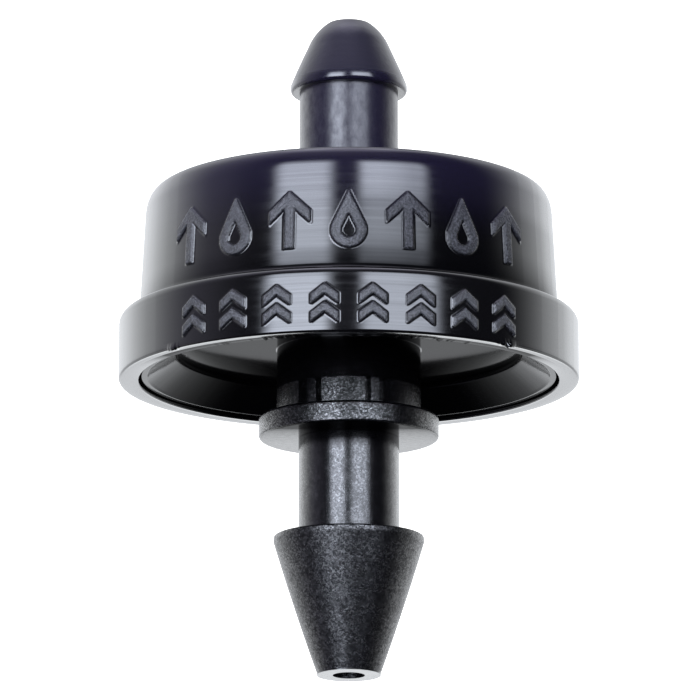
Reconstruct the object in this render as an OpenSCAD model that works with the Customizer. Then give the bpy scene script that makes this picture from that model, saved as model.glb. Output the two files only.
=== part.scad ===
// Pressure compensating on-line drip emitter: a moulded cover with the outlet
// nipple, a moulded base with the inlet barb and the labyrinth, and a loose
// silicone diaphragm between them. Sizes are in millimetres. +Z runs along the
// axis towards the outlet, and z = 0 is the flange face that meets the pipe.

/* [Cover] */
// Outer diameter of the skirt ring around the open side
ring_d = 16; // [15.9:0.1:17]
// Level of the skirt ring's lower edge above the pipe
ring_bottom_z = 2; // [1.9:0.05:2.1]
// Height of the skirt ring
ring_h = 2.28; // [2.1:0.02:2.6]
// Body diameter where it rises out of the ring
body_d = 14.6; // [14.5:0.1:14.7]
// Draft of the body wall, in degrees from the axis
body_draft = 3; // [1:0.5:3.5]
// Level of the cover's flat top
cover_top_z = 8.68; // [8.5:0.05:9.5]
// Radius of the ring's rounded top edge
ring_round = 0.3; // [0.1:0.05:0.3]
// Width of the body's rounded top edge
top_round = 0.45; // [0.2:0.05:0.6]
// Height of the body's rounded top edge
top_round_h = 0.85; // [0.4:0.05:1]

/* [Outlet nipple] */
// Diameter of the nipple's straight stem
nipple_d = 3.46; // [3.3:0.02:3.6]
// Diameter of the nipple's holding rim
nipple_rim_d = 4.1; // [3.9:0.05:4.4]
// Level of the underside of the holding rim
nipple_rim_z = 12.4; // [11.5:0.05:12.8]
// Level of the nipple's tip
nipple_tip_z = 14.95; // [14.9:0.05:16]
// Diameter of the outlet bore
outlet_bore_d = 1.1; // [0.8:0.05:1.2]

/* [Inlet barb] */
// Diameter of the stem that passes through the pipe wall
stem_d = 3.49; // [3.3:0.01:3.6]
// Length of the stem between flange and barb
stem_l = 3.43; // [3:0.01:4]
// Diameter of the barb's rim
barb_d = 5.2; // [4.8:0.05:5.6]
// Level of the middle of the slanted inlet face
barb_tip_z = -8.26; // [-8.6:0.02:-8.2]
// Slant of the inlet face, in degrees
tip_slant = 2.5; // [0:0.5:4]
// Diameter of the inlet bore at the tip
inlet_bore_d = 1.1; // [0.8:0.05:1.2]

/* [Base] */
// Diameter of the flange that rests on the pipe
flange_d = 6.24; // [5.8:0.02:6.8]
// Thickness of the flange
flange_t = 0.75; // [0.6:0.05:0.9]
// Diameter of the central boss
boss_d = 5; // [4.8:0.1:5.4]
// Level of the top of the grooves in the boss's neck
neck_z = 1.7; // [1.4:0.05:2]
// Level of the trough's ceiling, the underside of the base plate
trough_z = 3.15; // [2.8:0.05:3.3]
// Height of the trough's upright outer wall, from the ceiling down to the flare
trough_wall_h = 0.2; // [0.1:0.05:0.5]

/* [Labyrinth and diaphragm] */
// Number of teeth in the labyrinth
teeth = 24; // [12:2:28]
// Depth of the labyrinth channel
channel_h = 1.3; // [0.8:0.1:1.5]
// Diameter of the diaphragm
diaphragm_d = 7.5; // [7:0.1:7.7]
// Thickness of the diaphragm
diaphragm_t = 0.6; // [0.4:0.05:0.65]
// Free travel of the diaphragm between shelf and ledge
diaphragm_lift = 0.25; // [0.15:0.01:0.3]

/* [Raised marks] */
// Height of the marks on the body
body_mark_h = 2; // [1.6:0.1:2.2]
// Height of the marks on the ring
ring_mark_h = 1.36; // [1.1:0.02:1.5]
// How far the marks stand proud
mark_relief = 0.1; // [0.06:0.01:0.14]

/* [Hidden] */
$fn = 96;
eps = 0.05;

// Cover, outside
ring_r = ring_d / 2;
ring_top_z = ring_bottom_z + ring_h;
body_r = body_d / 2;
body_slope = tan(body_draft);
foot_round = 0.28;
edge_round = 0.1;
nipple_r = nipple_d / 2;
nipple_rim_r = nipple_rim_d / 2;
nipple_lip = 0.14;
nipple_land = 0.12;
nipple_face_r = 0.74;
nipple_shoulder_r = 1.46;
nipple_shoulder_drop = 0.93;
nipple_bulge = 0.01;
nipple_tip_bulge = 0.09;
outlet_r = outlet_bore_d / 2;

// Cover, inside: the ledge closes the labyrinth and stops the diaphragm
ledge_z = 6.8;
plug_r = 6.47;
plug_gap = 0.03;
case_r = plug_r + plug_gap;
step_z = 3.5;
step_gap = 0.05;
skirt_wall = 0.7;
skirt_bore_r = ring_r - skirt_wall;
bead_z = 4.6;
bead_h = 0.4;
bead_proud = 0.12;
chamber_r = 3.3;
chamber_h = 0.8;
seat_r = 1;
seat_h = 0.55;
seat_notch_w = 0.2;
seat_notch_h = 0.12;
transfer_w = 0.8;
transfer_h = 0.4;

// Base: stem, barb, neck and trough
stem_r = stem_d / 2;
barb_r = barb_d / 2;
barb_end_r = 1.1;
barb_end_z = -8.16;
barb_bulge = 0.03;
barb_lip = 0.08;
barb_land = 0.12;
tip_depth = 1;
inlet_r = inlet_bore_d / 2;
inlet_wide_r = 0.85;
inlet_wide_z = -6.2;
inlet_taper = 0.8;
flange_r = flange_d / 2;
boss_r = boss_d / 2;
groove_floor_r = 2.1;
groove_phase = -4.6;
narrow_groove_w = 0.21;
narrow_groove_at = 19.9;
wide_groove_w = 0.43;
wide_groove_at = 34.2;
trough_r = 6;
lip_in_r = 6.95;
lip_t = 0.25;
lip_z = ring_bottom_z + 0.15;
seam = 0.1;
skirt_r = skirt_bore_r - seam;

// Base: inlet well, shelf and labyrinth
well_r = 1.5;
well_z = 2.6;
recess_r = 3.95;
shelf_z = ledge_z - diaphragm_lift - diaphragm_t;
channel_in_r = 4.35;
channel_out_r = 6;
channel_floor_z = ledge_z - channel_h;
channel_from = 15;
channel_span = 330;
tooth_t = 0.35;
tooth_gap = 0.5;
tooth_first = 24;
tooth_last = channel_span - 14;
filter_slots = 5;
filter_w = 0.2;
filter_pitch = 4;
feed_w = 1.2;
feed_h = 0.3;

// Raised marks: azimuths are counted from -Y towards +X
body_marks = 7;
body_mark_pitch = 16;
body_mark_z = 6.06;
body_mark_stroke = 0.34;
ring_marks = 8;
ring_mark_pitch = 11.6;
ring_mark_z = 2.98;
ring_mark_stroke = 0.27;
mark_root = 0.15;

// Points on an arc about c, from angle a0 to angle a1
function arc(c, r, a0, a1, n = 8) =
    [for (i = [0:n]) c + r * [cos(a0 + (a1 - a0) * i / n), sin(a0 + (a1 - a0) * i / n)]];

// Points from p to q, both included, bowed out to the right by a sagitta s
function bow(p, q, s, n = 8) =
    let (d = q - p, side = [d[1], -d[0]] / norm(d))
    [for (i = [0:n]) p + d * i / n + side * s * 4 * (i / n) * (1 - i / n)];

// Radius of the drafted body wall at level z
function body_r_at(z) = body_r - (z - ring_top_z) * body_slope;

// ---------------------------------------------------------------- cover

// Half section of the cover, with its nipple and its chamber
module cover_section() {
    foot = [
        body_r_at(ring_top_z + foot_round * (1 - sin(body_draft))) + foot_round * cos(body_draft),
        ring_top_z + foot_round
    ];
    top_foot_z = cover_top_z - top_round_h;
    top_in_r = body_r_at(top_foot_z) - top_round;
    top_from = atan(top_round_h / top_round * body_slope);
    rim_top = [nipple_rim_r, nipple_rim_z + nipple_lip + nipple_land];
    shoulder = [nipple_shoulder_r, nipple_tip_z - nipple_shoulder_drop];
    face_edge = [nipple_face_r, nipple_tip_z];
    polygon(concat(
        [[outlet_r, ledge_z + chamber_h - seat_h], [seat_r, ledge_z + chamber_h - seat_h]],
        [[seat_r, ledge_z + chamber_h], [chamber_r, ledge_z + chamber_h]],
        [[chamber_r, ledge_z], [case_r, ledge_z]],
        bead_section(case_r, plug_gap),
        [[case_r, step_z], [skirt_bore_r, step_z]],
        [[skirt_bore_r, ring_bottom_z + edge_round / 2]],
        [[skirt_bore_r + edge_round / 2, ring_bottom_z]],
        arc([ring_r - edge_round, ring_bottom_z + edge_round], edge_round, -90, 0, 4),
        arc([ring_r - ring_round, ring_top_z - ring_round], ring_round, 0, 90, 6),
        arc(foot, foot_round, -90, -180 + body_draft, 6),
        [for (p = arc([0, 0], 1, top_from, 90))
            [top_in_r + top_round * p[0], top_foot_z + top_round_h * p[1]]],
        [[nipple_r + edge_round, cover_top_z]],
        arc([nipple_r + edge_round, cover_top_z + edge_round], edge_round, -90, -180, 4),
        [[nipple_r, nipple_rim_z]],
        arc([nipple_rim_r - nipple_lip, nipple_rim_z + nipple_lip], nipple_lip, -90, 0, 6),
        bow(rim_top, shoulder, nipple_bulge, 7),
        [for (i = [1:6]) bow(shoulder, face_edge, nipple_tip_bulge, 6)[i]],
        [[outlet_r, nipple_tip_z]]
    ));
}

// Snap bead, or the groove for it, down a wall of radius r
function bead_section(r, slack) = [
    [r, bead_z + bead_h / 2 + slack],
    [r + bead_proud, bead_z + bead_h / 4 + slack],
    [r + bead_proud, bead_z - bead_h / 4 - slack],
    [r, bead_z - bead_h / 2 - slack]
];

// Notch in the regulating seat, and the way in from the labyrinth's end
module cover_passages() {
    translate([0, -seat_notch_w / 2, ledge_z + chamber_h - seat_h - eps])
        cube([seat_r + eps, seat_notch_w, seat_notch_h + eps]);
    rotate([0, 0, channel_from + channel_span])
        translate([chamber_r - eps, -transfer_w - eps, ledge_z - eps])
            cube([channel_out_r - chamber_r - transfer_w / 2, transfer_w, transfer_h + eps]);
}

module cover() {
    color("#1c1b22")
    union() {
        difference() {
            rotate_extrude() cover_section();
            cover_passages();
        }
        body_mark_row();
        ring_mark_row();
    }
}

// ---------------------------------------------------------------- raised marks

// A water drop drawn as a ring
module drop_mark(h, stroke) {
    round_r = 0.3 * h;
    inner = (round_r - stroke) / round_r;
    translate([0, round_r - h / 2])
    difference() {
        drop_shape(round_r, h - round_r);
        scale([inner, inner]) drop_shape(round_r, h - round_r);
    }
}

// A round of radius r drawn out to a point at height tip
module drop_shape(r, tip) {
    touch = asin(r / tip);
    circle(r = r);
    polygon([[0, tip], r * [cos(touch), sin(touch)], [0, 0], r * [-cos(touch), sin(touch)]]);
}

// A chevron that points up, its tip at height top
module chevron(w, rise, stroke, top) {
    polygon([
        [0, top], [w / 2, top - rise], [w / 2, top - rise - stroke * 1.3],
        [0, top - stroke * 1.3], [-w / 2, top - rise - stroke * 1.3], [-w / 2, top - rise]
    ]);
}

// A flow arrow that points to the outlet
module arrow_mark(h, stroke) {
    chevron(0.72 * h, 0.34 * h, stroke, h / 2);
    translate([-stroke / 2, -h / 2]) square([stroke, h - stroke]);
}

// Two chevrons, one above the other
module chevrons_mark(h, stroke) {
    for (top = [h / 2, h * 0.04])
        chevron(0.68 * h, 0.26 * h, stroke, top);
}

// Stands a flat mark up against the wall on the side of -Y
module stand(r) {
    rotate([90, 0, 0]) translate([0, 0, r / 2]) linear_extrude(r) children();
}

module body_mark_row() {
    low = body_mark_z - body_mark_h / 2 - eps;
    high = body_mark_z + body_mark_h / 2 + eps;
    intersection() {
        rotate_extrude() polygon([
            [body_r_at(low) - mark_root, low], [body_r_at(low) + mark_relief, low],
            [body_r_at(high) + mark_relief, high], [body_r_at(high) - mark_root, high]
        ]);
        translate([0, 0, body_mark_z])
        for (i = [0:body_marks - 1])
            rotate([0, 0, (i - (body_marks - 1) / 2) * body_mark_pitch])
            stand(body_r) {
                if (i % 2 == 0) arrow_mark(body_mark_h, body_mark_stroke);
                if (i % 2 == 1) drop_mark(body_mark_h, body_mark_stroke);
            }
    }
}

module ring_mark_row() {
    intersection() {
        difference() {
            cylinder(r = ring_r + mark_relief, h = ring_top_z - edge_round);
            translate([0, 0, -eps]) cylinder(r = ring_r - mark_root, h = ring_top_z);
        }
        translate([0, 0, ring_mark_z])
        for (i = [0:ring_marks - 1])
            rotate([0, 0, (i - (ring_marks - 1) / 2) * ring_mark_pitch])
            stand(ring_r) chevrons_mark(ring_mark_h, ring_mark_stroke);
    }
}

// ---------------------------------------------------------------- base

// Half section of the base, from the inlet bore round to the shelf
module base_section() {
    polygon(concat(
        [[inlet_r, barb_tip_z - tip_depth]],
        [[barb_end_r - 0.2, barb_tip_z - tip_depth], [barb_end_r, barb_end_z]],
        bow([barb_end_r + eps / 2, barb_end_z + eps],
            [barb_r, -stem_l - barb_lip - barb_land], barb_bulge, 6),
        arc([barb_r - barb_lip, -stem_l - barb_lip], barb_lip, 0, 90, 4),
        [[stem_r, -stem_l], [stem_r, 0], [flange_r - edge_round, 0]],
        arc([flange_r - edge_round, edge_round], edge_round, -90, 0, 4),
        arc([flange_r - edge_round, flange_t - edge_round], edge_round, 0, 90, 4),
        [[boss_r, flange_t], [boss_r, trough_z], [trough_r, trough_z]],
        [[trough_r, trough_z - trough_wall_h]],
        [[lip_in_r, lip_z + eps], [lip_in_r + eps, lip_z], [lip_in_r + lip_t, lip_z]],
        [[skirt_r, lip_z + eps], [skirt_r, step_z - step_gap], [plug_r, step_z - step_gap]],
        [for (i = [3:-1:0]) bead_section(plug_r, 0)[i]],
        [[plug_r, ledge_z], [recess_r, ledge_z], [recess_r, shelf_z]],
        [[well_r, shelf_z], [well_r, well_z], [inlet_wide_r, well_z - 0.5]],
        [[inlet_wide_r, inlet_wide_z], [inlet_r, inlet_wide_z - inlet_taper]]
    ));
}

// Grooves in the neck, a narrow and a wide one on each hand of the front and of the
// back panel, with a rib left standing between the two
module neck_grooves() {
    for (side = [0, 180], hand = [-1, 1]) {
        neck_groove(groove_phase + side + hand * narrow_groove_at, narrow_groove_w);
        neck_groove(groove_phase + side + hand * wide_groove_at, wide_groove_w);
    }
}

// One groove of width w, at an azimuth counted from -Y towards +X
module neck_groove(azimuth, w) {
    rotate([0, 0, azimuth])
    translate([-w / 2, -boss_r - eps, flange_t])
        cube([w, boss_r + eps - groove_floor_r, neck_z - flange_t]);
}

// The slanted cut across the end of the barb: its lowest point is at +Y
module slant_cut() {
    translate([0, 0, barb_tip_z])
    rotate([-tip_slant, 0, 0])
    translate([-barb_r, -barb_r, -2 * tip_depth])
        cube([2 * barb_r, 2 * barb_r, 2 * tip_depth]);
}

// Flat pattern of the labyrinth: a ring with a dam and alternating teeth
module labyrinth_pattern() {
    difference() {
        circle(r = channel_out_r);
        circle(r = channel_in_r);
        rotate(channel_from + channel_span)
            polygon([
                [0, 0], [ring_r, 0],
                ring_r * [cos(360 - channel_span), sin(360 - channel_span)]
            ]);
        for (i = [0:teeth - 1])
            rotate(channel_from + tooth_first + i * (tooth_last - tooth_first) / (teeth - 1))
            translate([i % 2 == 0 ? channel_in_r - eps : channel_in_r + tooth_gap, -tooth_t / 2])
                square([channel_out_r - channel_in_r - tooth_gap + eps, tooth_t]);
    }
}

// Fine slots from the recess into the first pocket of the labyrinth
module inlet_filter() {
    for (i = [1:filter_slots])
        rotate([0, 0, channel_from + i * filter_pitch])
        translate([recess_r - eps, -filter_w / 2, shelf_z])
            cube([channel_in_r - recess_r + 2 * eps, filter_w, ledge_z - shelf_z + eps]);
    rotate([0, 0, channel_from + (filter_slots + 1) / 2 * filter_pitch])
    translate([well_r - eps, -feed_w / 2, shelf_z - feed_h])
        cube([recess_r - well_r, feed_w, feed_h + eps]);
}

module base() {
    color("#232427")
    difference() {
        rotate_extrude() base_section();
        slant_cut();
        neck_grooves();
        translate([0, 0, channel_floor_z])
            linear_extrude(channel_h + eps) labyrinth_pattern();
        inlet_filter();
    }
}

// ---------------------------------------------------------------- diaphragm

// Loose silicone disc, lying on the shelf of the base
module diaphragm() {
    color("#d9d4c6")
    translate([0, 0, shelf_z])
        cylinder(d = diaphragm_d, h = diaphragm_t);
}

cover();
base();
diaphragm();
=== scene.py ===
import math

import bmesh
import bpy
import numpy as np
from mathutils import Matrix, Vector, noise


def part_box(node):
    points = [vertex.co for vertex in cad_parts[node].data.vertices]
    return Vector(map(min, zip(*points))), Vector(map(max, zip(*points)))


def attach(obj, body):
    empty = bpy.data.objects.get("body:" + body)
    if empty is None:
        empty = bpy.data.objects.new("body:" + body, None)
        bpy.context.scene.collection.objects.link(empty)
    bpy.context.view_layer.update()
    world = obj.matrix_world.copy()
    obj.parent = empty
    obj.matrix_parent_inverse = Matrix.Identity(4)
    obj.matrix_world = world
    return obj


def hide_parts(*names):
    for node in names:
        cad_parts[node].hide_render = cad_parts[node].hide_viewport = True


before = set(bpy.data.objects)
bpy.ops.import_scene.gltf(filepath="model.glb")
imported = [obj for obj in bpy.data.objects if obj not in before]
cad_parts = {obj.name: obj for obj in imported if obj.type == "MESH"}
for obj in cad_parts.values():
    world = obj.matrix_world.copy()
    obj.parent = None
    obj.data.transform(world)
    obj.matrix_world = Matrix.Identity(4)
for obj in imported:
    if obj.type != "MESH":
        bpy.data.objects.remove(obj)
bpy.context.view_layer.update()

# Lengths below are in millimetres; meshes are made in metres.
MM = 0.001

# ---------------------------------------------------------------- sizes from the frame


def node_box(node):
    low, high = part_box(node)
    return [v / MM for v in low], [v / MM for v in high]


COVER_LOW, COVER_HIGH = node_box("cover")
LEDGE_Z = node_box("base")[1][2]
DISC_LOW, DISC_HIGH = node_box("diaphragm")

RING_R = COVER_HIGH[0]
RING_BOTTOM_Z = COVER_LOW[2]
RING_H = 2.28
RING_TOP_Z = RING_BOTTOM_Z + RING_H
NIPPLE_TIP_Z = COVER_HIGH[2]
MARK_RELIEF = -COVER_LOW[1] - RING_R
SHELF_Z = DISC_LOW[2]
DISC_R = DISC_HIGH[0]

# Cover
BODY_R = 7.3
BODY_DRAFT = math.radians(3)
BODY_TOP_Z = 8.68
TOP_ROUND, TOP_ROUND_H = 0.45, 0.85
RING_ROUND = 0.3
FOOT_ROUND = 0.28
EDGE = 0.1
NIPPLE_R = 1.73
NIPPLE_RIM_R = 2.05
NIPPLE_RIM_Z = 12.4
NIPPLE_LIP = 0.14
NIPPLE_LAND = 0.12
SHOULDER_R = 1.46
SHOULDER_Z = NIPPLE_TIP_Z - 0.93
TIP_FACE_R = 0.74
OUTLET_R = 0.55
SEAT_R = 1.0
SEAT_Z = 7.05
CHAMBER_R = 3.3
CHAMBER_Z = 7.6
CASE_R = 6.5
STEP_Z = 3.5
SKIRT_BORE_R = 7.3
BEAD_Z = 4.6
BEAD_H = 0.4
BEAD_PROUD = 0.12
NOTCH_W, NOTCH_H = 0.2, 0.12
TRANSFER_W, TRANSFER_H = 0.8, 0.4

# Base
STEM_R = 1.745
STEM_L = 3.43
BARB_R = 2.6
BARB_END_R = 1.1
BARB_END_Z = -8.16
BARB_TIP_Z = -8.26
TIP_SLANT = math.radians(2.5)
INLET_R = 0.55
INLET_WIDE_R = 0.85
FLANGE_R = 3.12
FLANGE_T = 0.75
BOSS_R = 2.5
NECK_Z = 1.7
GROOVE_FLOOR_R = 2.1
GROOVE_PHASE = -4.6
GROOVES = ((19.9, 0.21), (34.2, 0.43))
TROUGH_R = 6.0
TROUGH_Z = 3.15
FLARE_Z = 2.95
LIP_IN_R = 6.95
LIP_T = 0.25
LIP_Z = RING_BOTTOM_Z + 0.15
SKIRT_R = 7.2
PLUG_R = 6.47
WELL_R = 1.5
WELL_Z = 2.6
RECESS_R = 3.95
CHANNEL_IN_R, CHANNEL_OUT_R = 4.35, 6.0
CHANNEL_FLOOR_Z = LEDGE_Z - 1.3
CHANNEL_FROM, CHANNEL_SPAN = 15, 330
TEETH, TOOTH_T, TOOTH_GAP = 24, 0.35, 0.5
FILTER_SLOTS, FILTER_W, FILTER_PITCH = 5, 0.2, 4
FEED_W, FEED_H = 1.2, 0.3

# Rounding of plain corners and of the disc's, and the short step of the mesh at the ends of a long side
CORNER, DISC_CORNER = 0.05, 0.06
SUPPORT = 0.05

# Longest steps of the mesh along an outline: in the bands of marks, on the cover's ledge, elsewhere
RING_ROW_STEP, BODY_ROW_STEP, LEDGE_STEP, PLAIN_STEP = 0.036, 0.038, 0.25, 1.5

# Angle in degrees from which an edge is shaded sharp
COVER_SHARP, BASE_SHARP, DISC_SHARP = 80, 40, 60

# Ring's underside: width of its bright outer part, and half the angle at the front over which the rest has
# its reflection painted dark, a painted shade
UNDERSIDE, UNDERSIDE_HALF = 0.28, 72

# Flash along the ring's lower inner edge, and torn bits outside, each with its azimuth and width
FLASH_H, FLASH_HALF = 0.05, 40
TORN_BITS, TORN_H, TORN_PROUD = ((-48, 1.6), (42, 2.2)), 0.12, 0.07

# Raised marks, and the bands of wall in which they stand
MARK_SIDE = 0.05
RING_BAND, BODY_BAND = (2.2, 3.76), (4.95, 7.16)
BODY_MARKS, BODY_PITCH, BODY_MARK_Z, BODY_MARK_H, BODY_STROKE = 7, 16, 6.06, 2.0, 0.34
RING_MARKS, RING_PITCH, RING_MARK_Z, RING_MARK_H, RING_STROKE = 8, 11.6, 2.98, 1.36, 0.27

# ---------------------------------------------------------------- outlines


def arc(centre, radius, start, end, steps=6):
    """Points on an arc, angles in degrees."""
    angles = [math.radians(start + (end - start) * i / steps) for i in range(steps + 1)]
    return [(centre[0] + radius * math.cos(a), centre[1] + radius * math.sin(a)) for a in angles]


def bow(p, q, sagitta, steps=8):
    """Points from p to q, bowed out to the right of the way there."""
    dx, dz = q[0] - p[0], q[1] - p[1]
    length = math.hypot(dx, dz)
    points = []
    for i in range(steps + 1):
        t = i / steps
        out = sagitta * 4 * t * (1 - t) / length
        points.append((p[0] + dx * t + dz * out, p[1] + dz * t - dx * out))
    return points


def soften(outline, radius, corner=25, steps=3):
    """Rounds each outward corner of a closed outline, with a support point on both sides."""
    made = []
    count = len(outline)
    turning = sum(outline[i - 1][0] * p[1] - p[0] * outline[i - 1][1] for i, p in enumerate(outline))
    for i, here in enumerate(outline):
        before, after = Vector(outline[i - 1]), Vector(outline[(i + 1) % count])
        here = Vector(here)
        way_in, way_out = here - before, after - here
        turn = way_in.angle(way_out)
        outward = (way_in.x * way_out.y - way_in.y * way_out.x) * turning > 0
        if math.degrees(turn) < corner or not outward:
            made.append(tuple(here))
            continue
        r = min(radius, way_in.length / 4, way_out.length / 4)
        start, end = here - way_in.normalized() * r, here + way_out.normalized() * r
        if way_in.length > 8 * r:
            made.append(tuple(start - way_in.normalized() * r))
        for k in range(steps + 1):
            t = k / steps
            made.append(tuple(start * (1 - t) ** 2 + here * 2 * t * (1 - t) + end * t ** 2))
        if way_out.length > 8 * r:
            made.append(tuple(end + way_out.normalized() * r))
    return made


def densify(outline, step_at):
    """Splits each side of a closed outline into steps of about step_at(r, z), with a short
    step at both ends of a long side to keep its shading flat."""
    made = []
    for i, p in enumerate(outline):
        q = outline[(i + 1) % len(outline)]
        step = step_at((p[0] + q[0]) / 2, (p[1] + q[1]) / 2)
        length = math.hypot(q[0] - p[0], q[1] - p[1])
        parts = max(1, math.ceil(length / step))
        stops = [k / parts for k in range(parts)]
        if length / parts > 8 * SUPPORT:
            stops += [SUPPORT / length, 1 - SUPPORT / length]
        made += [(p[0] + (q[0] - p[0]) * t, p[1] + (q[1] - p[1]) * t) for t in sorted(stops)]
    return made


def bead(r, slack):
    """The snap bead, or the groove for it, down a wall of radius r."""
    return [
        (r, BEAD_Z + BEAD_H / 2 + slack), (r + BEAD_PROUD, BEAD_Z + BEAD_H / 4 + slack),
        (r + BEAD_PROUD, BEAD_Z - BEAD_H / 4 - slack), (r, BEAD_Z - BEAD_H / 2 - slack),
    ]


# ---------------------------------------------------------------- turning an outline


def azimuth_columns(fine_half, fine_step, coarse_step, extra=()):
    """Azimuths in degrees from -Y towards +X, fine round the front, coarse behind, and the extra ones."""
    front = int(2 * fine_half / fine_step)
    back = int((360 - 2 * fine_half) / coarse_step)
    angles = {round(-fine_half + 2 * fine_half * i / front, 4) for i in range(front)}
    angles |= {round(fine_half + (360 - 2 * fine_half) * i / back, 4) for i in range(back)}
    angles |= {round((a + fine_half) % 360 - fine_half, 4) for a in extra}
    return sorted(angles)


def lathe(name, outline, columns, shape, body, material, nodes, sharp):
    """Turns a closed outline round the axis; shape moves the points and names what the material reads."""
    outline = np.array(outline)
    az = np.radians(np.array(columns))
    r, a = np.meshgrid(outline[:, 0], az, indexing="ij")
    z = np.repeat(outline[:, 1:2], len(az), axis=1)
    r, z, values = shape(r.copy(), a, z.copy())
    points = np.stack([r * np.sin(a), -r * np.cos(a), z], axis=-1).reshape(-1, 3) * MM
    rows, cols = len(outline), len(az)
    i, j = np.meshgrid(np.arange(rows), np.arange(cols), indexing="ij")
    i2, j2 = (i + 1) % rows, (j + 1) % cols
    quads = np.stack([i * cols + j, i * cols + j2, i2 * cols + j2, i2 * cols + j], axis=-1).reshape(-1, 4)
    mesh = bpy.data.meshes.new(name)
    mesh.from_pydata(points.tolist(), [], quads.tolist())
    for label, value in values.items():
        layer = mesh.attributes.new(label, "FLOAT", "POINT")
        layer.data.foreach_set("value", value.reshape(-1).astype(np.float32))
    bm = bmesh.new()
    bm.from_mesh(mesh)
    bmesh.ops.remove_doubles(bm, verts=bm.verts, dist=1e-9)
    bmesh.ops.dissolve_degenerate(bm, edges=bm.edges, dist=1e-9)
    bmesh.ops.recalc_face_normals(bm, faces=bm.faces)
    bm.to_mesh(mesh)
    bm.free()
    mesh.shade_smooth()
    mesh.set_sharp_from_angle(angle=math.radians(sharp))
    piece = bpy.data.objects.new(name, mesh)
    bpy.context.scene.collection.objects.link(piece)
    mesh.materials.append(material)
    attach(piece, body)
    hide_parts(*nodes)
    return piece


def ease(t):
    t = np.clip(t, 0, 1)
    return t * t * (3 - 2 * t)


# ---------------------------------------------------------------- raised marks
# Each function says how far (u, v) lies inside the mark: u round the wall, v up it.


def chevron_inside(u, v, width, rise, stroke, top):
    fall = rise * np.abs(u) / (width / 2)
    lean = math.cos(math.atan2(rise, width / 2))
    across = np.minimum(top - fall - v, v - (top - fall - 1.3 * stroke)) * lean
    return np.minimum(across, width / 2 - np.abs(u))


def arrow_inside(u, v, h, stroke):
    head = chevron_inside(u, v, 0.72 * h, 0.34 * h, stroke, h / 2)
    stem = np.minimum(stroke / 2 - np.abs(u), np.minimum(v + h / 2, h / 2 - stroke - v))
    return np.maximum(head, stem)


def drop_shape_inside(u, v, radius, tip):
    touch = math.asin(radius / tip)
    flank = radius - (np.abs(u) * math.cos(touch) + v * math.sin(touch))
    above = v * math.cos(touch) > np.abs(u) * math.sin(touch)
    return np.where(above, flank, radius - np.hypot(u, v))


def drop_inside(u, v, h, stroke):
    radius = 0.3 * h
    shrink = (radius - stroke) / radius
    v = v - (radius - h / 2)
    outer = drop_shape_inside(u, v, radius, h - radius)
    inner = drop_shape_inside(u, v, radius * shrink, (h - radius) * shrink)
    return np.minimum(outer, -inner)


def chevrons_inside(u, v, h, stroke):
    tops = (h / 2, h * 0.04)
    return np.maximum(*[chevron_inside(u, v, 0.68 * h, 0.26 * h, stroke, top) for top in tops])


def mark_row(a, z, r, count, pitch, level, shapes, height, stroke):
    """How far each point lies inside a row of marks centred on -Y."""
    inside = np.full(a.shape, -1.0)
    for i in range(count):
        off = a - math.radians((i - (count - 1) / 2) * pitch)
        u = r * np.sin(off)
        near = np.abs(off) < math.radians(pitch)
        d = shapes[i % len(shapes)](u, z - level, height, stroke)
        inside = np.where(near, np.maximum(inside, d), inside)
    return inside


# ---------------------------------------------------------------- cover


def body_r_at(z):
    return BODY_R - (z - RING_TOP_Z) * math.tan(BODY_DRAFT)


def cover_outline():
    wall_top_z = BODY_TOP_Z - TOP_ROUND_H
    top_in_r = body_r_at(wall_top_z) - TOP_ROUND
    top_from = math.degrees(math.atan(TOP_ROUND_H / TOP_ROUND * math.tan(BODY_DRAFT)))
    foot_z = RING_TOP_Z + FOOT_ROUND * (1 - math.sin(BODY_DRAFT))
    foot_r = body_r_at(foot_z) + FOOT_ROUND * math.cos(BODY_DRAFT)
    rim_top = (NIPPLE_RIM_R, NIPPLE_RIM_Z + NIPPLE_LIP + NIPPLE_LAND)
    inner = [
        (OUTLET_R, SEAT_Z), (SEAT_R, SEAT_Z), (SEAT_R, CHAMBER_Z), (CHAMBER_R, CHAMBER_Z),
        (CHAMBER_R, LEDGE_Z), (CASE_R, LEDGE_Z), *bead(CASE_R, 0.03),
        (CASE_R, STEP_Z), (SKIRT_BORE_R, STEP_Z),
    ]
    ring = [
        (SKIRT_BORE_R, RING_BOTTOM_Z),
        (RING_R - UNDERSIDE - SUPPORT, RING_BOTTOM_Z), (RING_R - UNDERSIDE, RING_BOTTOM_Z),
        *arc((RING_R - EDGE, RING_BOTTOM_Z + EDGE), EDGE, -90, 0),
        *[(RING_R, z) for z in RING_BAND],
        *arc((RING_R - RING_ROUND, RING_TOP_Z - RING_ROUND), RING_ROUND, 0, 90, 10),
    ]
    body = [
        *arc((foot_r, RING_TOP_Z + FOOT_ROUND), FOOT_ROUND, -90, -177, 10),
        *[(body_r_at(z), z) for z in BODY_BAND],
        *[(top_in_r + TOP_ROUND * x, wall_top_z + TOP_ROUND_H * y)
          for x, y in arc((0, 0), 1, top_from, 90, 16)],
    ]
    nipple = [
        *arc((NIPPLE_R + EDGE, BODY_TOP_Z + EDGE), EDGE, -90, -180),
        (NIPPLE_R, NIPPLE_RIM_Z),
        *arc((NIPPLE_RIM_R - NIPPLE_LIP, NIPPLE_RIM_Z + NIPPLE_LIP), NIPPLE_LIP, -90, 0, 8),
        *bow(rim_top, (SHOULDER_R, SHOULDER_Z), 0.01, 10),
        *bow((SHOULDER_R, SHOULDER_Z), (TIP_FACE_R, NIPPLE_TIP_Z), 0.09, 8)[1:],
        (OUTLET_R, NIPPLE_TIP_Z),
    ]
    return inner + ring + body + nipple


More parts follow.
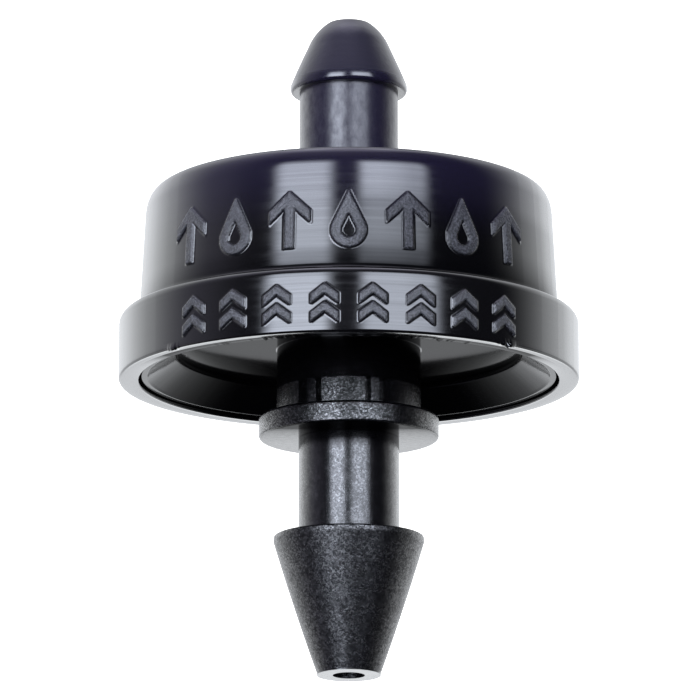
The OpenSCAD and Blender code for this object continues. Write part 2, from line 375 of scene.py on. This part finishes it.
def cover_step(r, z):
    if r > RING_R - 0.01 and RING_BAND[0] < z < RING_BAND[1]:
        return RING_ROW_STEP
    if r > SKIRT_BORE_R - 0.3 and BODY_BAND[0] < z < BODY_BAND[1]:
        return BODY_ROW_STEP
    if z == LEDGE_Z:
        return LEDGE_STEP
    return PLAIN_STEP


def ragged(a, scale, seed):
    """Smooth noise from 0 to 1 along the azimuth, the same on every run."""
    row = [noise.fractal(Vector((v * scale, seed, 0)), 0.7, 2.0, 3) for v in a[0]]
    return np.clip(0.5 + np.array(row), 0, 1)[None, :]


def cover_shape(r, a, z):
    # Inner part of the ring's underside at the front, with its reflection painted dark: painted shade
    painted_shade_under = (r < RING_R - UNDERSIDE - SUPPORT / 2) & (r > SKIRT_BORE_R - 0.01)
    painted_shade_under &= z < RING_BOTTOM_Z + SUPPORT
    off_front = np.abs((a + math.pi) % (2 * math.pi) - math.pi)
    painted_shade_under = painted_shade_under * ease((math.radians(UNDERSIDE_HALF) - off_front) / 0.28)
    # Marks on the two walls
    on_body = (r > SKIRT_BORE_R - 0.3) & (z > BODY_BAND[0]) & (z < BODY_BAND[1])
    on_ring = (r > RING_R - 1e-6) & (z > RING_BAND[0]) & (z < RING_BAND[1])
    shapes = (arrow_inside, drop_inside)
    body = mark_row(a, z, r, BODY_MARKS, BODY_PITCH, BODY_MARK_Z, shapes, BODY_MARK_H, BODY_STROKE)
    ring = mark_row(
        a, z, r, RING_MARKS, RING_PITCH, RING_MARK_Z, (chevrons_inside,), RING_MARK_H, RING_STROKE)
    inside = np.where(on_body, body, np.where(on_ring, ring, -1.0))
    raised = ease((inside + MARK_SIDE / 2) / MARK_SIDE)
    r = r + MARK_RELIEF * raised
    # Flash left by the mould along the ring's lower inner edge, and two torn bits outside
    front = ease((math.radians(FLASH_HALF) - np.abs(a)) / 0.2) * ease((ragged(a, 9, 7.0) - 0.3) / 0.25)
    inner_edge = ease((SKIRT_BORE_R + 0.12 - r) / 0.1)
    inner_edge = inner_edge * (z < RING_BOTTOM_Z + 0.08) * (r > SKIRT_BORE_R - 0.01)
    torn = ease((ragged(a, 30, 1.0) - 0.5) / 0.3)
    z = z - FLASH_H * inner_edge * front * torn
    r = r + 0.05 * inner_edge * front * (ragged(a, 55, 4.0) - 0.5)
    outer_edge = (r > RING_R - 0.16) & (z < RING_BOTTOM_Z + 0.12)
    for at, wide in TORN_BITS:
        bit = np.exp(-((np.degrees(a) - at) / wide) ** 2) * ragged(a, 120, at)
        z = z - TORN_H * bit * outer_edge
        r = r + TORN_PROUD * bit * outer_edge
    # Regulating notch in the seat, and the way in from the labyrinth's end
    x, y = r * np.sin(a), -r * np.cos(a)
    seat = (z < SEAT_Z + NOTCH_H) & (z > LEDGE_Z) & (r < SEAT_R + 0.01)
    seat &= (x > 0) & (np.abs(y) < NOTCH_W / 2)
    z = np.where(seat, SEAT_Z + NOTCH_H, z)
    turn = math.radians(CHANNEL_FROM + CHANNEL_SPAN)
    along, across = x * math.cos(turn) + y * math.sin(turn), y * math.cos(turn) - x * math.sin(turn)
    way = (z < LEDGE_Z + TRANSFER_H) & (z > LEDGE_Z - 0.001) & (r > CHAMBER_R - 0.01)
    way &= (along > 0) & (along < CHANNEL_OUT_R - TRANSFER_W / 2) & (across > -TRANSFER_W) & (across < 0)
    z = np.where(way, LEDGE_Z + TRANSFER_H, z)
    rim = ease((z - NIPPLE_RIM_Z - 0.02) / 0.04) * ease((NIPPLE_RIM_Z + 0.34 - z) / 0.1)
    satin = (0.75 - 0.55 * rim) * ease((z - BODY_TOP_Z - 0.05) / 0.1)
    return r, z, {"raised": raised, "satin": satin, "painted_shade_under": painted_shade_under}


def make_cover(material):
    outline = densify(soften(cover_outline(), CORNER), cover_step)
    # Extra columns at the side of the way in from the labyrinth
    turn = CHANNEL_FROM + CHANNEL_SPAN + 90
    edges = [turn + d for d in (-12, -9, -8, -7, -6, 0)]
    columns = azimuth_columns(fine_half=55, fine_step=0.4, coarse_step=4, extra=edges)
    return lathe("cover_shell", outline, columns, cover_shape,
                 "housing", material, ["cover"], COVER_SHARP)


# ---------------------------------------------------------------- base


def base_outline():
    near = 0.01
    steps_r = (CHANNEL_OUT_R, CHANNEL_OUT_R - TOOTH_GAP, CHANNEL_IN_R + TOOTH_GAP, CHANNEL_IN_R)
    ledge = [(r + side, LEDGE_Z) for r in steps_r for side in (near, -near)]
    return [
        (INLET_R, BARB_TIP_Z), (BARB_END_R, BARB_END_Z),
        *bow((BARB_END_R + 0.03, BARB_END_Z + 0.06), (BARB_R, -STEM_L - 0.2), 0.03, 10),
        *arc((BARB_R - 0.08, -STEM_L - 0.08), 0.08, 0, 90, 5),
        (STEM_R, -STEM_L), (STEM_R, 0),
        *arc((FLANGE_R - EDGE, EDGE), EDGE, -90, 0),
        *arc((FLANGE_R - EDGE, FLANGE_T - EDGE), EDGE, 0, 90),
        (BOSS_R, FLANGE_T), (BOSS_R, NECK_Z - near), (BOSS_R, NECK_Z + near),
        (BOSS_R, TROUGH_Z), (TROUGH_R, TROUGH_Z), (TROUGH_R, FLARE_Z),
        (LIP_IN_R, LIP_Z + 0.05), (LIP_IN_R + 0.05, LIP_Z), (LIP_IN_R + LIP_T, LIP_Z),
        (SKIRT_R, LIP_Z + 0.05), (SKIRT_R, STEP_Z - 0.05), (PLUG_R, STEP_Z - 0.05),
        *reversed(bead(PLUG_R, 0)),
        (PLUG_R, LEDGE_Z), *ledge, (RECESS_R, LEDGE_Z), (RECESS_R, SHELF_Z),
        (RECESS_R - 0.05 + near, SHELF_Z), (RECESS_R - 0.05 - near, SHELF_Z),
        (WELL_R, SHELF_Z), (WELL_R, WELL_Z), (INLET_WIDE_R, WELL_Z - 0.5),
        (INLET_WIDE_R, -6.2), (INLET_R, -7.0),
    ]


def grooves():
    """Azimuth and half angle, in degrees, of each groove in the neck."""
    return [
        (GROOVE_PHASE + side + hand * at, math.degrees(width / 2 / BOSS_R))
        for side in (0, 180) for hand in (-1, 1) for at, width in GROOVES
    ]


def teeth():
    """Azimuth and half angle of each labyrinth tooth."""
    first, last = 24, CHANNEL_SPAN - 14
    half = math.degrees(TOOTH_T / (CHANNEL_IN_R + CHANNEL_OUT_R))
    return [(90 + CHANNEL_FROM + first + i * (last - first) / (TEETH - 1), half) for i in range(TEETH)]


def filter_slots():
    half = math.degrees(FILTER_W / (RECESS_R + CHANNEL_IN_R))
    return [(90 + CHANNEL_FROM + (i + 1) * FILTER_PITCH, half) for i in range(FILTER_SLOTS)]


def feed():
    half = math.degrees(math.asin(FEED_W / (WELL_R + RECESS_R)))
    return 90 + CHANNEL_FROM + (FILTER_SLOTS + 1) / 2 * FILTER_PITCH, half


def dam():
    return 90 + CHANNEL_FROM - (360 - CHANNEL_SPAN) / 2, (360 - CHANNEL_SPAN) / 2


def within(a, place):
    """Whether azimuths a, in radians, lie within half an angle of a place."""
    off = (np.degrees(a) - place[0] + 180) % 360 - 180
    return np.abs(off) < place[1]


def base_shape(r, a, z):
    # Slanted inlet face, its lowest point at the back
    tip = z < BARB_END_Z + 0.07
    cut = BARB_TIP_Z + r * np.cos(a) * math.tan(TIP_SLANT)
    z = np.where(tip & (z < BARB_END_Z + 0.01), cut, z)
    above = tip & (z < cut)
    r = r + above * (cut - z) / 3
    z = np.where(above, cut, z)
    # Grooves in the neck
    neck = (z > FLANGE_T + 0.02) & (z < NECK_Z) & (r < BOSS_R + 0.002) & (r > GROOVE_FLOOR_R)
    for place in grooves():
        r = np.where(neck & within(a, place), GROOVE_FLOOR_R, r)
    # Labyrinth, inlet filter and feed groove
    ledge = z > LEDGE_Z - 0.001
    channel = ledge & (r > CHANNEL_IN_R) & (r < CHANNEL_OUT_R) & ~within(a, dam())
    for i, place in enumerate(teeth()):
        reach = r < CHANNEL_OUT_R - TOOTH_GAP if i % 2 == 0 else r > CHANNEL_IN_R + TOOTH_GAP
        channel &= ~(within(a, place) & reach)
    z = np.where(channel, CHANNEL_FLOOR_Z, z)
    wall = (z > SHELF_Z) & (r > RECESS_R - 0.001) & (r < CHANNEL_IN_R)
    for place in filter_slots():
        z = np.where(wall & within(a, place), SHELF_Z, z)
    shelf = (z > SHELF_Z - 0.2) & (r < RECESS_R - 0.05) & (r > WELL_R - 0.001) & within(a, feed())
    z = np.where(shelf, SHELF_Z - FEED_H, z)
    # Textured barb, flange rim and neck; a half polished stem, the trough with its reflection painted
    # darker (painted shade), the rest polished
    barb = z < -STEM_L + 0.01
    rim = (z > 0.02) & (z < NECK_Z) & (r < FLANGE_R + 0.01)
    stem = (z >= -STEM_L + 0.01) & (z <= -0.01)
    face = (z < -STEM_L) & (z < cut + 0.002)
    satin = np.where(barb & ~face, 1.0, np.where(rim, 0.7, np.where(stem, 0.3, 0.0)))
    flare = (r > TROUGH_R - 0.001) & (r < SKIRT_R) & (z < TROUGH_Z - 0.001)
    ceiling = (z > TROUGH_Z - 0.001) & (z < TROUGH_Z + 0.001) & (r > BOSS_R) & (r < TROUGH_R + 0.001)
    return r, z, {"satin": satin, "trough_painted_shade": np.where(ceiling, 1.0, np.where(flare, 0.5, 0.0))}


def make_base(material):
    outline = densify(soften(base_outline(), CORNER), lambda r, z: PLAIN_STEP)
    places = grooves() + teeth() + filter_slots() + [feed(), dam()]
    edges = [at + hand * half + side for at, half in places for hand in (-1, 1) for side in (-0.04, 0.04)]
    columns = azimuth_columns(fine_half=180, fine_step=2, coarse_step=2, extra=edges)
    return lathe("base_body", outline, columns, base_shape,
                 "housing", material, ["base"], BASE_SHARP)


# ---------------------------------------------------------------- diaphragm


def make_diaphragm(material):
    low, high = DISC_LOW[2], DISC_HIGH[2]
    outline = soften([(0, low), (DISC_R, low), (DISC_R, high), (0, high)], DISC_CORNER)
    columns = azimuth_columns(fine_half=180, fine_step=3, coarse_step=3)
    return lathe("diaphragm_disc", outline, columns, lambda r, a, z: (r, z, {}),
                 "diaphragm", material, ["diaphragm"], DISC_SHARP)


# ---------------------------------------------------------------- materials
# How much the parts with painted shade still mirror: the ring's underside at the front, the flare and the
# trough's ceiling

UNDERSIDE_SHINE, FLARE_SHINE, CEILING_SHINE = 0.005, 0.06, 0.008


class Shader:
    """A principled material with short calls for its nodes."""

    def __init__(self, name, color, roughness):
        self.material = bpy.data.materials.new(name)
        self.material.use_nodes = True
        self.tree = self.material.node_tree
        self.bsdf = self.tree.nodes["Principled BSDF"]
        self.bsdf.inputs["Base Color"].default_value = (*color, 1)
        self.bsdf.inputs["Roughness"].default_value = roughness

    def node(self, kind, inputs=(), **settings):
        node = self.tree.nodes.new(kind)
        for key, value in settings.items():
            setattr(node, key, value)
        for socket, value in dict(inputs).items():
            self.feed(node.inputs[socket], value)
        return node

    def feed(self, socket, value):
        if isinstance(value, bpy.types.NodeSocket):
            self.tree.links.new(value, socket)
        else:
            socket.default_value = value

    def place(self, scale=(1, 1, 1)):
        """Object coordinates in metres, multiplied by scale."""
        coords = self.node("ShaderNodeTexCoord")
        inputs = {"Vector": coords.outputs["Object"], "Scale": scale}
        return self.node("ShaderNodeMapping", inputs).outputs["Vector"]

    def noise(self, vector, scale, detail=2.0, roughness=0.5):
        inputs = {"Vector": vector, "Scale": scale, "Detail": detail, "Roughness": roughness}
        return self.node("ShaderNodeTexNoise", inputs).outputs["Fac"]

    def level(self, axis):
        """Coordinate of the shaded point on the part along an axis, in metres."""
        coords = self.node("ShaderNodeTexCoord")
        return self.node("ShaderNodeSeparateXYZ", {"Vector": coords.outputs["Object"]}).outputs[axis]

    def spread(self, value, low, high, to_low, to_high, smooth=False):
        kind = "SMOOTHSTEP" if smooth else "LINEAR"
        inputs = {"Value": value, "From Min": low, "From Max": high, "To Min": to_low, "To Max": to_high}
        return self.node("ShaderNodeMapRange", inputs, interpolation_type=kind).outputs["Result"]

    def sum(self, kind, a, b):
        return self.node("ShaderNodeMath", {0: a, 1: b}, operation=kind).outputs["Value"]

    def mix(self, factor, a, b):
        return self.node("ShaderNodeMix", {"Factor": factor, "A": a, "B": b}).outputs["Result"]

    def mix_color(self, factor, a, b):
        node = self.node("ShaderNodeMix", data_type="RGBA")
        sockets = {i.identifier: i for i in node.inputs}
        self.feed(sockets["Factor_Float"], factor)
        self.feed(sockets["A_Color"], a)
        self.feed(sockets["B_Color"], b)
        return next(o for o in node.outputs if o.identifier == "Result_Color")

    def value(self, label):
        return self.node("ShaderNodeAttribute", attribute_name=label).outputs["Fac"]

    def bump(self, height, distance, strength=1.0, normal=None):
        inputs = {"Height": height, "Distance": distance, "Strength": strength}
        if normal is not None:
            inputs["Normal"] = normal
        return self.node("ShaderNodeBump", inputs).outputs["Normal"]

    def set(self, socket, value):
        self.feed(self.bsdf.inputs[socket], value)


def cover_material():
    sh = Shader("cover_plastic_black", (0.001, 0.001, 0.0016), 0.15)
    raised, satin, painted_shade_under = sh.value("raised"), sh.value("satin"), sh.value("painted_shade_under")
    level, across = sh.level("Z"), sh.level("X")
    # Polishing lines run round the walls, and fade towards the sides
    front = sh.spread(sh.sum("ABSOLUTE", across, 0), 3 * MM, 5.5 * MM, 1, 0.15, smooth=True)
    lines = sh.noise(sh.place((60, 60, 8000)), 1, 3, 0.6)
    hairs = sh.noise(sh.place((150, 150, 22000)), 1, 4, 0.7)
    patches = sh.noise(sh.place(), 500, 2)
    mottle = sh.noise(sh.place((4200, 4200, 2200)), 1, 4, 0.7)
    lined = sh.mix(front, 0.1, sh.spread(lines, 0.35, 0.75, 0.07, 0.15))
    polish = sh.sum("ADD", lined, sh.spread(patches, 0.4, 0.7, 0.0, 0.04))
    walls = sh.mix(satin, polish, 0.36)
    sh.set("Roughness", sh.mix(raised, walls, 0.5))
    # The wall's reflection is painted darker on the right, a painted shade, and it is also darker towards
    # the bottom, most of all on the right; the right of the nipple's reflection is painted darker too
    right = sh.spread(across, -0.3 * MM, 0.7 * MM, 0, 1, smooth=True)
    left_by_height = sh.spread(level, 4.4 * MM, 5.3 * MM, 0.4, 1)
    lower = sh.spread(level, 4.5 * MM, 5.6 * MM, 0.12, 0.62)
    upper = sh.spread(level, 6.7 * MM, 7.2 * MM, 0, 0.38)
    painted_shade_right = sh.sum("ADD", lower, upper)
    on_body = sh.spread(level, 4.3 * MM, 4.45 * MM, 0, 1)
    far_right = sh.spread(across, 1.0 * MM, 2.2 * MM, 1, 0.75)
    shine = sh.mix(on_body, 1.0, sh.sum("MULTIPLY", sh.mix(right, left_by_height, painted_shade_right), far_right))
    on_stem = sh.sum("MULTIPLY", satin, sh.spread(level, 12.3 * MM, 12.4 * MM, 1, 0))
    # Painted shade: the right of the nipple reflects less
    stem_shine = sh.mix(right, 0.85, 0.42)
    shine = sh.mix(on_stem, shine, sh.sum("MULTIPLY", stem_shine, sh.spread(mottle, 0.35, 0.65, 0.62, 1.4)))
    coarse_lines = sh.spread(lines, 0.3, 0.7, 1.1, 0.88)
    fine_lines = sh.spread(hairs, 0.3, 0.7, 1.12, 0.86)
    streaks = sh.sum("MULTIPLY", coarse_lines, fine_lines)
    streaks = sh.mix(sh.sum("MAXIMUM", raised, satin), sh.mix(front, 1.0, streaks), 1.0)
    shine = sh.sum("MULTIPLY", sh.sum("MULTIPLY", shine, streaks), 0.5)
    # Painted shade: the inner part of the ring's underside at the front barely reflects
    sh.set("Specular IOR Level", sh.mix(painted_shade_under, shine, UNDERSIDE_SHINE))
    # A violet tone, lighter towards the top, is a painted sheen of the overhead light on the upper wall and
    # the nipple; the marks' faces are greyer
    painted_sheen = sh.spread(level, 5.5 * MM, 8.4 * MM, 0, 1, smooth=True)
    tone = sh.mix_color(painted_sheen, (0.0008, 0.0008, 0.001, 1), (0.0042, 0.0034, 0.009, 1))
    tone = sh.mix_color(on_stem, tone, (0.0055, 0.0044, 0.011, 1))
    grain = sh.noise(sh.place(), 14000, 2, 0.6)
    speck = sh.spread(grain, 0.42, 0.66, 0.15, 1.0)
    tone = sh.mix_color(sh.sum("MULTIPLY", raised, speck), tone, (0.034, 0.034, 0.04, 1))
    sh.set("Base Color", tone)
    # Grain on the marks' faces and faint orange peel on the nipple
    peel = sh.noise(sh.place(), 5000, 2)
    coarse = sh.bump(sh.sum("MULTIPLY", grain, raised), 0.04 * MM)
    fine = sh.bump(sh.sum("MULTIPLY", peel, satin), 0.008 * MM, normal=coarse)
    sh.set("Normal", fine)
    return sh.material


def base_material():
    sh = Shader("base_plastic_black", (0.001, 0.001, 0.0012), 0.3)
    satin, trough_painted_shade, level = sh.value("satin"), sh.value("trough_painted_shade"), sh.level("Z")
    blotch = sh.noise(sh.place(), 2500, 2)
    rough = sh.spread(satin, 0, 1, 0.12, 0.27)
    rough = sh.sum("ADD", rough, sh.spread(blotch, 0.35, 0.7, -0.02, 0.04))
    sh.set("Roughness", sh.mix(trough_painted_shade, rough, 0.08))
    # Every speck of the eroded texture mirrors a little more or less
    cells = sh.node("ShaderNodeTexVoronoi", {"Vector": sh.place(), "Scale": 22000}, feature="F1")
    chance = sh.node("ShaderNodeSeparateColor", {"Color": cells.outputs["Color"]}).outputs["Red"]
    speck = sh.spread(sh.sum("MULTIPLY", chance, chance), 0, 1, 0.25, 1.9)
    speck = sh.mix(sh.spread(satin, 0.1, 0.6, 0, 1), 1.0, speck)
    mottle = sh.noise(sh.place((5000, 5000, 3500)), 1, 3, 0.65)
    shine = sh.sum("MULTIPLY", speck, sh.spread(mottle, 0.3, 0.7, 0.36, 0.62))
    # Painted shade: the reflections of the stem's top under the flange, the front of the flange's
    # underside, the flare and the trough's ceiling are painted darker
    off_axis = sh.sum("ABSOLUTE", sh.level("X"), 0)
    stem_top = sh.mix(
        sh.spread(off_axis, 1.0 * MM, 1.5 * MM, 0, 1), sh.spread(level, -0.6 * MM, -0.25 * MM, 1, 0.1), 1.0)
    underside = sh.spread(sh.level("Y"), -1.8 * MM, 1.0 * MM, 0.01, 0.5)
    above = sh.mix(sh.spread(level, 0.01 * MM, 0.03 * MM, 0, 1), underside, 1.0)
    corner = sh.mix(sh.spread(level, -0.02 * MM, -0.005 * MM, 0, 1), stem_top, above)
    shine = sh.mix(sh.spread(trough_painted_shade, 0, 0.5, 0, 1), sh.sum("MULTIPLY", shine, corner), FLARE_SHINE)
    sh.set("Specular IOR Level", sh.mix(sh.spread(trough_painted_shade, 0.5, 1, 0, 1), shine, CEILING_SHINE))
    grain = sh.noise(sh.place(), 27000, 2, 0.6)
    sh.set("Normal", sh.bump(sh.sum("MULTIPLY", grain, satin), 0.011 * MM))
    # Pale dust caught in the texture
    dots = sh.spread(cells.outputs["Distance"], 0.08, 0.3, 1, 0)
    some = sh.spread(sh.noise(sh.place(), 1800, 1), 0.42, 0.6, 0.1, 1)
    dust = sh.sum("MULTIPLY", sh.sum("MULTIPLY", dots, some), satin)
    sh.set("Base Color", sh.mix_color(dust, (0.001, 0.001, 0.0012, 1), (0.022, 0.022, 0.027, 1)))
    return sh.material


def silicone_material():
    sh = Shader("silicone_milky", (0.62, 0.6, 0.52), 0.35)
    sh.set("Subsurface Weight", 0.3)
    sh.set("Subsurface Radius", (0.4 * MM, 0.35 * MM, 0.3 * MM))
    cloud = sh.noise(sh.place(), 900, 3)
    sh.set("Roughness", sh.spread(cloud, 0.3, 0.7, 0.3, 0.45))
    sh.set("Base Color", sh.mix_color(cloud, (0.6, 0.58, 0.5, 1), (0.68, 0.66, 0.58, 1)))
    sh.set("Normal", sh.bump(sh.noise(sh.place(), 6000, 2), 0.003 * MM))
    return sh.material


# ---------------------------------------------------------------- studio
# Lengths here are in metres, but for the camera's sensor and lens, and angles in degrees.
# The camera stands lower than the part and looks up at its front.

SURROUND_R, SURROUND_STEP = 0.5, 2
FLOOR_HALF, FLOOR_Z = 3.0, -0.4
CAMERA_AT = (0.04 * MM, -162.4 * MM, -33.38 * MM)
CAMERA_RISE = 12.683
SENSOR_W, LENS = 36.0, 246.1


def plateau(x, low, high, soft_low, soft_high):
    """1 between low and high, falling to 0 over the soft widths outside them."""
    return ease((x - low + soft_low) / soft_low) * ease((high + soft_high - x) / soft_high)


def studio_light(az, el):
    """Radiance of the surround towards azimuth az (from -Y to +X) and elevation el, in degrees."""
    side = np.abs(az)
    from_left = ease((60 - az) / 120)
    left = plateau(az, -36, -14, 9, 8) * plateau(el, -16, 26, 8, 14) * (12.5 - 2.8 * ease((el - 13) / 7))
    right = plateau(az, 10, 40, 7, 8) * plateau(el, -3, 26, 8, 14) * (9.8 - 1.5 * ease((az - 24) / 14))
    wings = 2.45 * ease((side - 80) / 50) * (1 - 0.58 * ease((side - 135) / 40))
    wings *= (1 - 0.45 * ease((el - 20) / 20)) * (1 - 0.35 * ease((6 - el) / 14)) * ease((el + 54) / 30)
    table = ease((4 - el) / 14) + 4 * ease((-14 - el) / 14)
    table = ease((side - 150) / 20) * table * ease((el + 56) / 12)
    fill = 0.45 * ease((-50 - az) / 35) * ease((125 + az) / 40) * ease((el + 48) / 20)
    ceiling = ease((el - 40) / 25) * (0.2 + 0.2 * from_left + 1.25 * ease((el - 66) / 14))
    shade = 0.06 * ease((az - 42) / 16) * ease((125 - az) / 30)
    rest = (0.09 - shade) * ease((el + 40) / 20) + 0.03 + fill + ceiling
    return np.stack([
        box * (left + right) + wing * (wings + table) + dim * rest
        for box, wing, dim in ((0.93, 0.97, 0.97), (1.0, 1.0, 0.95), (1.16, 1.02, 1.2))
    ], axis=-1)


def add_surround():
    """The soft boxes, the wings and the fill between them on one dome, which the camera doesn't see."""
    az, el = np.meshgrid(
        np.arange(-180, 181, SURROUND_STEP), np.arange(-90, 91, SURROUND_STEP), indexing="ij")
    a, e = np.radians(az), np.radians(el)
    radius = SURROUND_R
    points = np.stack([
        radius * np.cos(e) * np.sin(a), -radius * np.cos(e) * np.cos(a), radius * np.sin(e)
    ], axis=-1).reshape(-1, 3)
    rows, cols = az.shape
    i, j = np.meshgrid(np.arange(rows - 1), np.arange(cols - 1), indexing="ij")
    quads = np.stack([
        i * cols + j, i * cols + j + 1, (i + 1) * cols + j + 1, (i + 1) * cols + j
    ], axis=-1).reshape(-1, 4)
    mesh = bpy.data.meshes.new("studio_surround")
    mesh.from_pydata(points.tolist(), [], quads.tolist())
    light = studio_light(az.astype(float), el.astype(float)).reshape(-1, 3)
    layer = mesh.attributes.new("light", "FLOAT_COLOR", "POINT")
    colors = np.hstack([light, np.ones((len(light), 1))])
    layer.data.foreach_set("color", colors.reshape(-1).astype(np.float32))
    obj = bpy.data.objects.new("studio_surround", mesh)
    bpy.context.scene.collection.objects.link(obj)
    obj.visible_camera = False
    mat = bpy.data.materials.new("studio_surround")
    mat.use_nodes = True
    nodes, links = mat.node_tree.nodes, mat.node_tree.links
    nodes.clear()
    out = nodes.new("ShaderNodeOutputMaterial")
    emit = nodes.new("ShaderNodeEmission")
    attr = nodes.new("ShaderNodeAttribute")
    attr.attribute_name = "light"
    links.new(attr.outputs["Color"], emit.inputs["Color"])
    links.new(emit.outputs["Emission"], out.inputs["Surface"])
    mesh.materials.append(mat)


def add_floor():
    mesh = bpy.data.meshes.new("floor")
    s, z = FLOOR_HALF, FLOOR_Z
    mesh.from_pydata([(-s, -s, z), (s, -s, z), (s, s, z), (-s, s, z)], [], [(0, 1, 2, 3)])
    obj = bpy.data.objects.new("floor", mesh)
    bpy.context.scene.collection.objects.link(obj)
    obj.visible_diffuse = obj.visible_glossy = obj.visible_shadow = False
    mesh.materials.append(Shader("floor_white", (0.9, 0.9, 0.89), 0.8).material)


def add_world():
    world = bpy.data.worlds.new("studio")
    bpy.context.scene.world = world
    world.use_nodes = True
    background = world.node_tree.nodes["Background"]
    background.inputs["Color"].default_value = (1, 1, 1, 1)
    background.inputs["Strength"].default_value = 2.0


def add_camera():
    data = bpy.data.cameras.new("camera")
    data.sensor_width = SENSOR_W
    data.lens = LENS
    data.clip_start = 0.01
    camera = bpy.data.objects.new("camera", data)
    camera.location = CAMERA_AT
    camera.rotation_euler = (math.radians(90 + CAMERA_RISE), 0, 0)
    bpy.context.scene.collection.objects.link(camera)
    bpy.context.scene.camera = camera


bpy.context.scene.view_settings.view_transform = "Standard"
add_camera()
add_world()
add_floor()
add_surround()
make_cover(cover_material())
make_base(base_material())
make_diaphragm(silicone_material())
